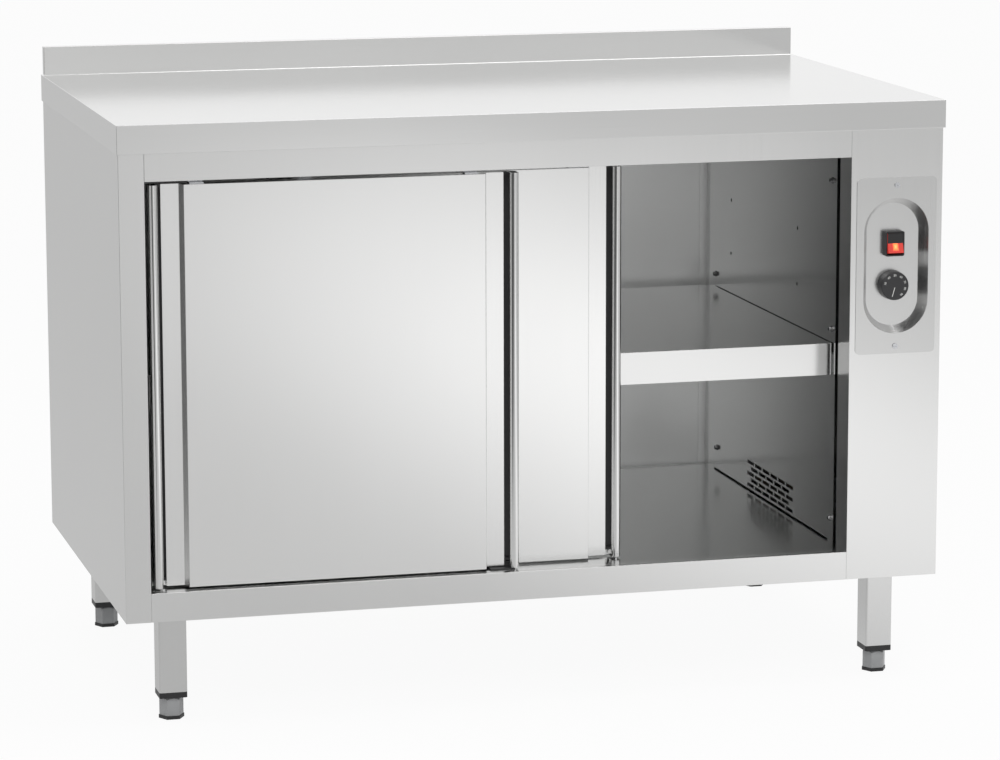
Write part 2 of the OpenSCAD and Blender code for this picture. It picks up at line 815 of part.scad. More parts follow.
// Finned heating element: two runs joined by a bend, in the blower's duct
module heater_element() {
    y0 = grille_y + 16;
    y1 = grille_y + grille_l + 14;
    fin_thin = 0.8;
    fins_in = [6, 32];
    pitch = (y1 - y0 - fins_in[0] - fins_in[1]) / heater_fins;
    bend_r = (heater_runs[1] - heater_runs[0]) / 2;
    color("dimgray") {
        for (z = heater_runs) {
            bar_y(heater_d, heater_x, z, [y0, y1]);
            for (i = [0:heater_fins - 1])
                bar_y(fin_d, heater_x, z, span(y0 + fins_in[0] + i * pitch, [0, fin_thin]));
            bar_y(3, heater_x, z, [y1, y1 + 12]);
        }
        translate([heater_x, y0, heater_runs[0] + bend_r]) rotate([0, 90, 0]) rotate(180)
            rotate_extrude(angle = 180) translate([bend_r, 0]) circle(d = heater_d);
    }
}

// Snap thermostat that cuts the heater off, on top of its duct
module safety_thermostat() {
    z = duct_z + duct_h + duct_wall;
    ears = [13, 34];
    color("dimgray") translate([bay_x + duct_l / 2 + 1, grille_y + grille_l / 2, z]) {
        cylinder(d = 16, h = 9);
        linear_extrude(1) round_rect(ears[0], ears[1], 5);
        for (i = [-1, 1])
            translate([-3, 4 * i - 0.4, 9]) cube([6, 0.8, 7]);
    }
}

// Terminal block on the floor of the bay
module terminal_block() {
    ways = 5;
    pitch = 12;
    block_h = 19;
    x = gland_x;
    y = terminal_y;
    z = under_z + sheet;
    color("ivory") difference() {
        union() {
            block(around(x, 11), around(y, ways * pitch / 2), span(z, [0, 12]));
            block(around(x, 6), around(y, ways * pitch / 2), span(z, [12, block_h]));
        }
        for (i = [0:ways - 1])
            translate([x, y + (i + 0.5 - ways / 2) * pitch, z + 8]) cylinder(d = 5, h = block_h);
    }
}

// Gland for the supply cable, in the underside behind the bay
module cable_gland() {
    body_d = 22;
    body_h = 16;
    nut_d = 28;
    nut_h = 5;
    color("dimgray") difference() {
        translate([gland_x, gland_y, 0]) {
            translate([0, 0, under_z - 6]) cylinder(d = nut_d, h = 6, $fn = 6);
            translate([0, 0, under_z - body_h]) cylinder(d = body_d, h = body_h);
            translate([0, 0, under_z]) cylinder(d = gland_d, h = sheet + nut_h + 2);
            translate([0, 0, under_z + sheet]) cylinder(d = nut_d, h = nut_h, $fn = 6);
        }
        translate([gland_x, gland_y, under_z - body_h - 1]) cylinder(d = 11, h = body_h + sheet + nut_h + 4);
    }
}

// Leg: a square tube with a plate welded into its top
module leg(c) {
    color("silver") translate([c[0] * leg_x, c[1] * leg_y, 0]) {
        translate([0, 0, leg_bottom]) linear_extrude(under_z - leg_bottom) difference() {
            round_rect(leg_w, leg_w, 3);
            round_rect(leg_w - 2 * leg_wall, leg_w - 2 * leg_wall, 3 - leg_wall + 0.5);
        }
        translate([0, 0, under_z - leg_plate_t]) difference() {
            linear_extrude(leg_plate_t) square(leg_w - 2 * leg_wall, center = true);
            translate([0, 0, -1]) cylinder(d = leg_bolt_d, h = leg_plate_t + 2);
        }
    }
}

module leg_front_left() leg(CORNERS[0]);
module leg_front_right() leg(CORNERS[1]);
module leg_rear_left() leg(CORNERS[2]);
module leg_rear_right() leg(CORNERS[3]);

// Plastic ends of the legs, with the bore for the foot's screw
module leg_ends() {
    plug = leg_w - 2 * leg_wall - 2 * cap_fit;
    color("dimgray")
        for (c = CORNERS)
            translate([c[0] * leg_x, c[1] * leg_y, leg_bottom]) difference() {
                union() {
                    translate([0, 0, -cap_h]) linear_extrude(cap_h) round_rect(leg_w, leg_w, 3);
                    linear_extrude(cap_plug_h) round_rect(plug, plug, 2);
                }
                translate([0, 0, -cap_h - 1])
                    cylinder(d = foot_screw_d + 2 * foot_fit, h = cap_h + cap_plug_h + 2);
            }
}

// Backing plates, bolts and nuts that hold the legs
module leg_mounts() {
    grip = leg_plate_t + sheet + mount_t;
    nut_d = 18;
    color("silver")
        for (c = CORNERS)
            translate([c[0] * leg_x, c[1] * leg_y, under_z - leg_plate_t]) {
                translate([0, 0, leg_plate_t + sheet]) difference() {
                    linear_extrude(mount_t) square(mount_plate, center = true);
                    translate([0, 0, -1]) cylinder(d = leg_bolt_d, h = mount_t + 2);
                }
                for (z = [-bolt_nut_h, grip])
                    translate([0, 0, z]) cylinder(d = nut_d, h = bolt_nut_h, $fn = 6);
                translate([0, 0, -bolt_nut_h]) cylinder(d = leg_bolt_d, h = grip + 2 * bolt_nut_h + 2);
            }
}

// Levelling foot: a hexagonal body with a base ring, on a screw
module foot(c) {
    corner_d = foot_af / cos(30);
    shoulder = 5;
    color("darkgray") translate([c[0] * leg_x, c[1] * leg_y, 0]) {
        cylinder(d = corner_d + 2, h = foot_ring_h, $fn = 6);
        translate([0, 0, foot_ring_h]) {
            cylinder(d = corner_d, h = foot_h - foot_ring_h - shoulder, $fn = 6);
            translate([0, 0, foot_h - foot_ring_h - shoulder]) intersection() {
                cylinder(d = corner_d, h = shoulder - rest_gap, $fn = 6);
                cylinder(d1 = corner_d + 2, d2 = foot_af - 4, h = shoulder - rest_gap);
            }
        }
        cylinder(d = foot_screw_d, h = leg_bottom + foot_travel + 12);
    }
}

module foot_front_left() foot(CORNERS[0]);
module foot_front_right() foot(CORNERS[1]);
module foot_rear_left() foot(CORNERS[2]);
module foot_rear_right() foot(CORNERS[3]);

// Front face of a door: one sheet that steps back to the finger recesses, closed at its top and bottom
module door_skin() {
    u0 = grip_bar_w + grip_groove_w;
    s = door_sheet * sqrt(1 + pow(grip_slope_w / grip_recess_d, 2));
    function wall_u(v) = grip_w + (grip_recess_d - v) * grip_slope_w / grip_recess_d;
    outer = [[u0, grip_recess_d], [grip_w, grip_recess_d], [grip_w + grip_slope_w, 0]];
    inner = [[wall_u(door_sheet) + s, door_sheet], [wall_u(grip_recess_d + door_sheet) + s,
        grip_recess_d + door_sheet], [u0, grip_recess_d + door_sheet]];
    flip = function (p) [door_w - p[0], p[1]];
    face = concat(outer, [for (i = [2:-1:0]) flip(outer[i])], [for (i = [2:-1:0]) flip(inner[i])], inner);
    ends = [[u0 + grip_wall, back_skin_y], [u0 + grip_wall, grip_recess_d + door_sheet], inner[1], inner[0]];
    inside = concat(ends, [for (i = [3:-1:0]) flip(ends[i])]);
    color("gainsboro") difference() {
        union() {
            linear_extrude(door_h) polygon(face);
            for (z = [0, door_h - door_sheet])
                translate([0, 0, z]) linear_extrude(door_sheet) polygon(inside);
        }
        guide_groove();
    }
}

// Groove for the guide fin along the underside of a door
module guide_groove() {
    block([-1, door_w + 1], guide_slot, [-1, guide_slot_h]);
}

// Back face of a door
module door_back() {
    color("lightgray") block([0, door_w], [back_skin_y, door_t], [0, door_h]);
}

// Hollow bars along both edges of a door
module door_grips() {
    color("gainsboro") difference() {
        on_both_edges() linear_extrude(door_h) grip_outline();
        guide_groove();
    }
}

module grip_outline() {
    r = grip_bar_w / 2;
    wall = grip_wall;
    difference() {
        union() {
            translate([r, r - grip_bar_proud]) circle(r);
            translate([0, r - grip_bar_proud]) square([grip_bar_w, back_skin_y - r + grip_bar_proud]);
        }
        translate([r, r - grip_bar_proud + 2]) circle(r - wall);
        translate([wall, r - grip_bar_proud + 2])
            square([grip_bar_w - 2 * wall, back_skin_y - wall - r + grip_bar_proud - 2]);
    }
}

// Plastic channels that line the deep groove beside each bar, closed at both ends
module door_channels() {
    floor_y = back_skin_y - grip_wall;
    web = grip_bar_w + grip_groove_w;
    color("dimgray") on_both_edges() difference() {
        block([grip_bar_w, web + grip_wall], [grip_recess_d, back_skin_y], [guide_slot_h, door_h]);
        block([0, web], [0, floor_y], [guide_slot_h + channel_end, door_h - channel_end]);
        block([web, door_w], [0, grip_recess_d + door_sheet], [-1, door_h + 1]);
    }
}

module on_both_edges() {
    for (flip = [0, 1]) translate([flip * door_w, 0, 0]) mirror([flip, 0, 0]) children();
}

// Hangers on a door's top edge, each with the axle of its roller
module door_hangers() {
    color("silver")
        for (u = [hanger_inset, door_w - hanger_inset])
            translate([u, 0, door_h]) {
                block([-hanger_w, hanger_w] / 2, [4, hanger_y + gear_t], [0, gear_t]);
                block([-hanger_w, hanger_w] / 2, [hanger_y, hanger_y + gear_t], [0, hanger_rise]);
                bar_y(roller_axle_d, 0, axle_z, [roller_y - 0.8, hanger_y]);
                bar_y(roller_axle_d + 4, 0, axle_z, [roller_y + roller_w + 0.3, hanger_y]);
            }
}

// Roller of one hanger
module door_roller(u) {
    color("ivory") translate([u, roller_y, door_h + axle_z]) rotate([-90, 0, 0]) difference() {
        cylinder(d = roller_d, h = roller_w);
        translate([0, 0, -1]) cylinder(d = roller_axle_d + 2 * roller_fit, h = roller_w + 2);
    }
}

module at_front_door() translate([front_door_x, front_door_y, door_z]) children();
module at_rear_door() translate([rear_door_x, rear_door_y, door_z]) children();

module front_door_skin() at_front_door() door_skin();
module front_door_back() at_front_door() door_back();
module front_door_grips() at_front_door() door_grips();
module front_door_channels() at_front_door() door_channels();
module front_door_hangers() at_front_door() door_hangers();
module front_door_roller_left() at_front_door() door_roller(hanger_inset);
module front_door_roller_right() at_front_door() door_roller(door_w - hanger_inset);
module rear_door_skin() at_rear_door() door_skin();
module rear_door_back() at_rear_door() door_back();
module rear_door_grips() at_rear_door() door_grips();
module rear_door_channels() at_rear_door() door_channels();
module rear_door_hangers() at_rear_door() door_hangers();
module rear_door_roller_left() at_rear_door() door_roller(hanger_inset);
module rear_door_roller_right() at_rear_door() door_roller(door_w - hanger_inset);

worktop();
worktop_stiffeners();
left_side_panel();
right_side_panel();
back_panel();
underside_panel();
left_stile();
top_rail();
bottom_rail();
control_fascia();
inner_left_wall();
inner_back_wall();
ceiling_panel();
cabinet_floor();
partition();
insulation();
track_stops();
door_track();
door_guide();
shelf();
shelf_pegs();
control_plate();
plate_screws();
switch_housing();
thermostat_body();
safety_thermostat();
blower_housing();
blower_motor();
heater_element();
terminal_block();
cable_gland();
leg_front_left();
leg_front_right();
leg_rear_left();
leg_rear_right();
leg_ends();
leg_mounts();
front_door_skin();
front_door_back();
front_door_grips();
front_door_channels();
front_door_hangers();
front_door_roller_left();
front_door_roller_right();
rear_door_skin();
rear_door_back();
rear_door_grips();
rear_door_channels();
rear_door_hangers();
rear_door_roller_left();
rear_door_roller_right();
switch_rocker();
thermostat_knob();
thermostat_shaft();
blower_rotor();
foot_front_left();
foot_front_right();
foot_rear_left();
foot_rear_right();
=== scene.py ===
"""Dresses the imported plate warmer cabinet: finishes, small parts, studio and camera. Units are metres."""

import json
import math

import bmesh
import bpy
from bpy.props import FloatProperty, FloatVectorProperty, IntProperty, PointerProperty
from bpy.types import Operator, Panel, PropertyGroup
from mathutils import Matrix, Vector


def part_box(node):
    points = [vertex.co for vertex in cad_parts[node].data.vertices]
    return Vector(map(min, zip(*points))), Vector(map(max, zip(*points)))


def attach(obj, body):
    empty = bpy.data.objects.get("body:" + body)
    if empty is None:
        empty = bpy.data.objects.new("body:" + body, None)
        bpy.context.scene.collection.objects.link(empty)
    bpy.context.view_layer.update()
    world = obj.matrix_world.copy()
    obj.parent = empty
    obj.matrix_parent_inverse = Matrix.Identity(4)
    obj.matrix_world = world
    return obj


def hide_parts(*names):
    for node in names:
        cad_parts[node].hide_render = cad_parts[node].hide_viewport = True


bl_info = {
    "name": "Plate warmer cabinet",
    "version": (1, 0, 0),
    "blender": (4, 5, 0),
    "location": "View3D > Sidebar > Plate warmer",
    "description": "Finishes and small parts of a heated cupboard with sliding doors",
    "category": "Object",
}

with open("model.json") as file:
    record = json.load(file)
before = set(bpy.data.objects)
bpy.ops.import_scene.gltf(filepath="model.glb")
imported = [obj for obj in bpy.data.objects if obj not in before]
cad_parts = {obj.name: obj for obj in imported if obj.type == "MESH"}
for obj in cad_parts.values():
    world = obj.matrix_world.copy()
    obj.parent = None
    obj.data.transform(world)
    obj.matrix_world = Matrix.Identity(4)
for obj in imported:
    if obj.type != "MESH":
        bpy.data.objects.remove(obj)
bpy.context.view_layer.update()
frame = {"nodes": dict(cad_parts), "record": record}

MM = 0.001
NODES = frame["nodes"]
RECORD = frame["record"]
BODY_OF = {node: body for body, nodes in RECORD["behaviour"]["bodies"].items() for node in nodes}
SLOT_OF = {part["node"]: part["material_slot"] for part in RECORD["subparts"]}


# Fixed places and shares

SHELF_GAP = 2 * MM
BOLT_PLACES = [(-0.2643, 0.7279), (-0.2662, 0.5102), (-0.272, 0.2299), (0.2871, 0.5094), (0.2738, 0.2309)]
FOOT_RING_TOP = 5.2 * MM
NUMBER_RADIUS_SHARE = 0.36
POINTER_SIZE = (0.9 * MM, 0.12 * MM, 14 * MM)
POINTER_RADIUS = 9 * MM
# Share of the rocker's height above which its faces are black plastic: painted shade.
ROCKER_PAINTED_SHADE_FROM = 0.6
WINDOW_HEIGHT_SHARE = 0.36
WINDOW_HALF = (4.6 * MM, 6.2 * MM)

# Sizes and colours that a user would change


class CabinetFinish(PropertyGroup):
    """Looks of the steel, the plastics and the lit rocker."""

    steel: FloatVectorProperty(
        name="Steel", description="Colour of the satin steel", subtype="COLOR", default=(0.80, 0.80, 0.795)
    )
    inner_steel: FloatVectorProperty(
        name="Inner steel", description="Colour of the steel inside", subtype="COLOR", default=(0.82, 0.825, 0.82)
    )
    roughness: FloatProperty(
        name="Roughness", description="Roughness of the satin steel", default=0.22, min=0, max=1
    )
    fold: FloatProperty(
        name="Fold", description="Radius on the outside of folded sheet", default=0.5 * MM, unit="LENGTH"
    )
    plastic: FloatVectorProperty(
        name="Plastic", description="Colour of the black plastic", subtype="COLOR", default=(0.018, 0.018, 0.019)
    )
    lens: FloatVectorProperty(
        name="Lens", description="Colour of the lit rocker", subtype="COLOR", default=(0.62, 0.05, 0.035)
    )
    glow: FloatProperty(name="Glow", description="Strength of the lamp in the rocker", default=1.0, min=0)


class CabinetDial(PropertyGroup):
    """Numbers and pointer of the thermostat knob."""

    first: IntProperty(name="First", description="First number on the knob", default=30)
    last: IntProperty(name="Last", description="Last number on the knob", default=90)
    step: IntProperty(name="Step", description="Step between the numbers", default=10, min=1)
    first_angle: FloatProperty(
        name="First angle", description="Place of the first number, clockwise from the top",
        subtype="ANGLE", default=math.radians(-74)
    )
    last_angle: FloatProperty(
        name="Last angle", description="Place of the last number, clockwise from the top",
        subtype="ANGLE", default=math.radians(142)
    )
    pointer_angle: FloatProperty(
        name="Pointer", description="Place of the pointer, clockwise from the top",
        subtype="ANGLE", default=math.radians(196)
    )
    digit: FloatProperty(name="Digit", description="Height of the numbers", default=4.4 * MM, unit="LENGTH")


class CabinetScrews(PropertyGroup):
    """Flanged bolts that hold the partition."""

    flange: FloatProperty(name="Flange", description="Radius of the flange", default=4.6 * MM, unit="LENGTH")
    head: FloatProperty(name="Head", description="Radius over the head's corners", default=3.6 * MM, unit="LENGTH")
    height: FloatProperty(name="Height", description="Height of the head", default=3.4 * MM, unit="LENGTH")


class CabinetStudio(PropertyGroup):
    """Camera and lamps."""

    camera: FloatVectorProperty(
        name="Camera", description="Place of the camera", subtype="XYZ", unit="LENGTH",
        default=(-1.48573, -5.79579, 1.49156)
    )
    yaw: FloatProperty(
        name="Yaw", description="Turn of the camera to the right", subtype="ANGLE", default=0.2558
    )
    pitch: FloatProperty(name="Pitch", description="Tilt of the camera downwards", subtype="ANGLE", default=0.1789)
    roll: FloatProperty(name="Roll", description="Roll of the camera", subtype="ANGLE", default=-0.0019)
    lens: FloatProperty(name="Lens", description="Focal length on a 36 mm sensor", default=146.24)
    floor: FloatVectorProperty(
        name="Floor", description="Colour of the floor", subtype="COLOR", default=(0.88, 0.88, 0.88)
    )
    key: FloatProperty(name="Key", description="Power of the lamp in front", default=45, unit="POWER")
    top: FloatProperty(name="Top", description="Power of the lamp above", default=35, unit="POWER")
    sky: FloatProperty(name="Sky", description="Strength of the light from all round", default=0.6, min=0)


# Shader maths


class Value:
    """A node socket that takes part in Python expressions."""

    def __init__(self, graph, socket):
        self.graph = graph
        self.socket = socket

    def math(self, operation, *others):
        return self.graph.add("ShaderNodeMath", {"operation": operation}, self, *others)

    def __add__(self, other):
        return self.math("ADD", other)

    def __mul__(self, other):
        return self.math("MULTIPLY", other)

    def __sub__(self, other):
        return self.math("SUBTRACT", other)

    def __rsub__(self, other):
        return self.graph.add("ShaderNodeMath", {"operation": "SUBTRACT"}, other, self)

    def __truediv__(self, other):
        return self.math("DIVIDE", other)

    def length(self):
        return self.graph.add("ShaderNodeVectorMath", {"operation": "LENGTH"}, self)


class Graph:
    """Nodes of one material or of the world."""

    def __init__(self, tree, shader):
        self.tree = tree
        self.shader = shader
        self.coordinates = self.node("ShaderNodeTexCoord", {})

    def node(self, kind, settings, *inputs, **named):
        node = self.tree.nodes.new(kind)
        for key, setting in settings.items():
            if key == "stops":
                self.set_stops(node.color_ramp, setting)
            else:
                setattr(node, key, setting)
        for socket, given in zip(node.inputs, inputs):
            self.feed(socket, given)
        for name, given in named.items():
            self.feed(self.find(node, name), given)
        return node

    def find(self, node, name):
        wanted = name.replace("_", " ").lower()
        return next(s for s in node.inputs if s.name.lower() == wanted and s.enabled)

    def feed(self, socket, given):
        if isinstance(given, Value):
            self.tree.links.new(given.socket, socket)
        elif given is not None:
            socket.default_value = given

    def set_stops(self, ramp, stops):
        while len(ramp.elements) < len(stops):
            ramp.elements.new(1)
        for element, (place, colour) in zip(ramp.elements, stops):
            element.position = place
            element.color = (*colour, 1)

    def add(self, kind, settings, *inputs, output=0, **named):
        node = self.node(kind, settings, *inputs, **named)
        return Value(self, [s for s in node.outputs if s.enabled][output])

    def place(self, scale=(1, 1, 1), centre=(0, 0, 0)):
        """Object coordinates about a centre, scaled."""
        start = Value(self, self.coordinates.outputs["Object"])
        moved = self.add("ShaderNodeVectorMath", {"operation": "SUBTRACT"}, start, centre)
        return self.add("ShaderNodeVectorMath", {"operation": "MULTIPLY"}, moved, scale)

    def parts(self, vector):
        """The three parts of a vector."""
        split = self.node("ShaderNodeSeparateXYZ", {}, vector)
        return [Value(self, socket) for socket in split.outputs]

    def smooth(self, value, start, end):
        """Rise from 0 at start to 1 at end, with soft ends."""
        low, high = sorted((start, end))
        bounds = (0, 1) if start < end else (1, 0)
        return self.add("ShaderNodeMapRange", {"interpolation_type": "SMOOTHSTEP"}, value, low, high, *bounds)

    def paths(self):
        """Whether the camera sees the surface, and whether metal or glass does."""
        path = self.node("ShaderNodeLightPath", {})
        seen = Value(self, path.outputs["Is Camera Ray"])
        mirrored = Value(self, path.outputs["Is Glossy Ray"]) + Value(self, path.outputs["Is Transmission Ray"])
        return seen, mirrored.math("MINIMUM", 1) * (1 - seen)

    def noise(self, stretch, detail=3, rough=0.5):
        return self.add(
            "ShaderNodeTexNoise", {}, self.place(stretch), scale=1, detail=detail, roughness=rough
        )

    def mix(self, factor, first, second):
        return self.add("ShaderNodeMix", {"data_type": "RGBA"}, factor, a=(*first, 1), b=(*second, 1))

    def bump(self, height, strength, distance=0.0002):
        return self.add("ShaderNodeBump", {}, strength=strength, distance=distance, height=height)

    def surface(self, **sockets):
        for name, given in sockets.items():
            self.feed(self.find(self.shader, name), given)


def new_material(name):
    material = bpy.data.materials.new(name)
    material.use_nodes = True
    return material, Graph(material.node_tree, material.node_tree.nodes["Principled BSDF"])


def shade(colour, factor):
    return tuple(min(1, c * factor) for c in colour)


# Finishes


def satin_steel(name, colour, roughness, grain, rear=0):
    """Ground sheet: fine streaks along the grain and slow clouds. The back wall is rougher by rear."""
    material, g = new_material(name)
    streak = g.noise(grain, detail=2)
    cloud = g.noise((3, 3, 3), detail=2)
    tone = streak * 0.35 + cloud * 0.65
    rough = (streak + cloud) * (0.3 * roughness) + 0.7 * roughness
    if rear:
        rough = rough + g.smooth(g.parts(g.place())[1], 0.31, 0.33) * rear
    g.surface(
        base_color=g.mix(tone, shade(colour, 0.95), shade(colour, 1.05)), metallic=1.0,
        roughness=rough, normal=g.bump(streak, 0.03, 0.0001)
    )
    return material


def galvanised(name, colour):
    """Zinc-coated sheet with its crystals."""
    material, g = new_material(name)
    crystal = g.add("ShaderNodeTexVoronoi", {}, g.place((110, 110, 110)), scale=1, output=1)
    grey = g.add("ShaderNodeSeparateColor", {}, crystal)
    g.surface(
        base_color=g.mix(grey, shade(colour, 0.8), shade(colour, 1.15)), metallic=1.0,
        roughness=grey * 0.15 + 0.33, normal=g.bump(grey, 0.05)
    )
    return material


def plated(name, colour, roughness):
    """Bright plating or drawn metal."""
    material, g = new_material(name)
    cloud = g.noise((160, 160, 160), detail=3)
    g.surface(
        base_color=g.mix(cloud, shade(colour, 0.88), shade(colour, 1.1)), metallic=1.0,
        roughness=cloud * 0.12 + (roughness - 0.06), normal=g.bump(cloud, 0.04)
    )
    return material


def moulded(name, colour, roughness, grain=0.12):
    """Moulded plastic with a fine spark-eroded grain."""
    material, g = new_material(name)
    fine = g.noise((1500, 1500, 1500), detail=2)
    cloud = g.noise((25, 25, 25), detail=2)
    g.surface(
        base_color=g.mix(cloud, shade(colour, 0.8), shade(colour, 1.25)),
        roughness=fine * 0.14 + (roughness - 0.07), normal=g.bump(fine, grain, 0.00008)
    )
    return material


def lit_lens(name, colour, glow):
    """Red lens with the lamp's warm window shining through its lower half."""
    material, g = new_material(name)
    low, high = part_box("switch_rocker")
    centre = ((low[0] + high[0]) / 2, low[1], low[2] + (high[2] - low[2]) * WINDOW_HEIGHT_SHARE)
    x, _, z = g.parts(g.place((1, 1, 1), centre))
    rim = (x.math("ABSOLUTE") / WINDOW_HALF[0]).math("MAXIMUM", z.math("ABSOLUTE") / WINDOW_HALF[1])
    spots = g.noise((420, 420, 420), detail=2)
    near = rim + spots * 0.3 - 0.15
    stops = [
        (0, (1, 0.72, 0.22)), (0.55, (1, 0.36, 0.07)), (0.95, (0.62, 0.05, 0.03)), (1.0, (0.2, 0.008, 0.006))
    ]
    ramp = g.add("ShaderNodeValToRGB", {"stops": stops}, near)
    g.surface(
        base_color=g.mix(spots, shade(colour, 0.9), shade(colour, 1.1)), roughness=0.22,
        emission_color=ramp, emission_strength=glow, coat_weight=0.3
    )
    return material


def wool(name, colour):
    """Pressed mineral wool."""
    material, g = new_material(name)
    fibre = g.noise((60, 400, 900), detail=6, rough=0.7)
    g.surface(
        base_color=g.mix(fibre, shade(colour, 0.6), shade(colour, 1.2)), roughness=0.95,
        normal=g.bump(fibre, 0.7, 0.002)
    )
    return material


def laminated(name, colour):
    """Stack of motor plates."""
    material, g = new_material(name)
    plate = g.add(
        "ShaderNodeTexWave", {"bands_direction": "Y"}, g.place((1, 1, 1)), scale=300, distortion=0.4
    )
    g.surface(
        base_color=g.mix(plate, shade(colour, 0.7), shade(colour, 1.2)), metallic=0.8,
        roughness=plate * 0.1 + 0.42, normal=g.bump(plate, 0.3)
    )
    return material


def annealed(name, colour):
    """Heater steel with the tints of heat."""
    material, g = new_material(name)
    tint = g.noise((30, 8, 30), detail=3)
    stops = [(0.3, shade(colour, 0.7)), (0.5, colour), (0.62, (0.33, 0.24, 0.16)), (0.75, (0.2, 0.2, 0.27))]
    ramp = g.add("ShaderNodeValToRGB", {"stops": stops}, tint)
    g.surface(base_color=ramp, metallic=1.0, roughness=tint * 0.2 + 0.3, normal=g.bump(tint, 0.05))
    return material


ALONG_X = (5, 900, 900)
ALONG_Y = (900, 5, 900)
ALONG_Z = (900, 900, 5)


def make_finish(slot):
    look = bpy.context.scene.cabinet_finish
    steel, rough = tuple(look.steel), look.roughness
    black = tuple(look.plastic)
    makers = {
        # The top and the door are lighter copies of the body's steel and the legs a darker one: painted light and
        # painted shade for how brightly each part is lit. The shelf and the control plate are darker copies of the
        # same steel.
        "stainless_top": lambda n: satin_steel(n, shade(steel, 1.02), 0.15, ALONG_X),
        "stainless_body": lambda n: satin_steel(n, steel, rough, ALONG_Z),
        "stainless_door": lambda n: satin_steel(n, shade(steel, 1.1), rough - 0.02, ALONG_Z),
        "stainless_grip": lambda n: satin_steel(n, steel, 0.14, ALONG_Z),
        "stainless_inside": lambda n: satin_steel(n, tuple(look.inner_steel), 0.17, ALONG_Y, 0.2),
        "stainless_shelf": lambda n: satin_steel(n, shade(steel, 0.94), 0.17, ALONG_X),
        "stainless_plate": lambda n: satin_steel(n, shade(steel, 0.87), rough + 0.03, ALONG_Z),
        "stainless_leg": lambda n: satin_steel(n, shade(steel, 0.9), rough, ALONG_Z),
        "galvanised": lambda n: galvanised(n, (0.58, 0.6, 0.61)),
        "zinc": lambda n: plated(n, (0.66, 0.67, 0.69), 0.28),
        "aluminium": lambda n: satin_steel(n, (0.68, 0.68, 0.69), 0.38, ALONG_X),
        "nylon_black": lambda n: moulded(n, (0.03, 0.03, 0.03), 0.55),
        "nylon_white": lambda n: moulded(n, (0.78, 0.77, 0.72), 0.45),
        "plastic_black": lambda n: moulded(n, black, 0.42),
        "plastic_ivory": lambda n: moulded(n, (0.72, 0.68, 0.57), 0.45),
        "knob_black": lambda n: moulded(n, shade(black, 1.5), 0.38, 0.2),
        "rocker_red": lambda n: lit_lens(n, tuple(look.lens), look.glow),
        "foot_grey": lambda n: moulded(n, (0.36, 0.365, 0.37), 0.3),
        "rubber": lambda n: moulded(n, (0.02, 0.02, 0.02), 0.75, 0.3),
        "mineral_wool": lambda n: wool(n, (0.6, 0.5, 0.22)),
        "motor_iron": lambda n: laminated(n, (0.16, 0.16, 0.17)),
        "heater_steel": lambda n: annealed(n, (0.2, 0.19, 0.18)),
        # Zinc darkened for the partition bolts: painted shade.
        "bolt_painted_shade": lambda n: plated(n, (0.17, 0.17, 0.17), 0.3),
        "paint_white": lambda n: moulded(n, (0.75, 0.75, 0.73), 0.5),
        "grille_dark": lambda n: moulded(n, (0.01, 0.01, 0.01), 0.6),
    }
    return makers[slot](f"{slot}_finish")


def finish(slot):
    """The material of one slot, made at its first use."""
    return bpy.data.materials.get(f"{slot}_finish") or make_finish(slot)


# Modelling


class Editing:
    """Edit mode on one piece, with nothing else selected."""

    def __init__(self, piece, kind="VERT"):
        self.piece = piece
        self.kind = kind

    def __enter__(self):
        take(self.piece)
        bpy.ops.object.mode_set(mode="EDIT")
        bpy.ops.mesh.select_mode(type=self.kind)
        bpy.ops.mesh.select_all(action="DESELECT")
        return self

    def __exit__(self, *_):
        bpy.ops.object.mode_set(mode="OBJECT")

    def choose(self, test):
        """Select the faces or edges that pass a test, by their place and normal."""
        mesh = bmesh.from_edit_mesh(self.piece.data)
        bpy.ops.mesh.select_all(action="DESELECT")
        found = [item for item in (mesh.faces if self.kind == "FACE" else mesh.edges) if test(item)]
        for item in found:
            item.select_set(True)
        mesh.select_flush_mode()
        bmesh.update_edit_mesh(self.piece.data)
        if not found:
            raise RuntimeError(f"nothing to select on {self.piece.name}")


def take(piece):
    bpy.ops.object.select_all(action="DESELECT")
    piece.select_set(True)
    bpy.context.view_layer.objects.active = piece


def started(name):
    """The primitive that an operator has just added, under its piece's name."""
    piece = bpy.context.object
    piece.name = name
    return piece


def apply(piece, kind, **settings):
    """Add a modifier and apply it."""
    take(piece)
    modifier = piece.modifiers.new(kind.title(), kind)
    for key, setting in settings.items():
        setattr(modifier, key, setting)
    bpy.ops.object.modifier_apply(modifier=modifier.name)


def settle(piece, angle=35):
    """Place into the mesh, and normals that follow the faces."""
    take(piece)
    bpy.ops.object.transform_apply(location=True, rotation=True, scale=True)
    bpy.ops.object.shade_smooth_by_angle(angle=math.radians(angle))


def hand_over(piece, body, slot, *replaced, look=None):
    piece.data.materials.clear()
    piece.data.materials.append(finish(look or slot))
    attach(piece, body)
    if replaced:
        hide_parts(*replaced)


def softened(node, width, segments=2, angle=40):
    """A merged copy of a CAD node with rounded edges, which stands for it."""
    piece = bpy.data.objects.new(f"{node}_softened", NODES[node].data.copy())
    bpy.context.scene.collection.objects.link(piece)
    with Editing(piece):
        bpy.ops.mesh.select_all(action="SELECT")
        bpy.ops.mesh.remove_doubles(threshold=0.001 * MM)
        bpy.ops.mesh.dissolve_limited(angle_limit=math.radians(0.3))
    if width:
        apply(piece, "BEVEL", width=width, segments=segments, limit_method="ANGLE",
              angle_limit=math.radians(angle), use_clamp_overlap=True, miter_outer="MITER_ARC")
    settle(piece)
    apply(piece, "WEIGHTED_NORMAL", keep_sharp=True, weight=60)
    hand_over(piece, BODY_OF[node], SLOT_OF[node], node)
    return piece


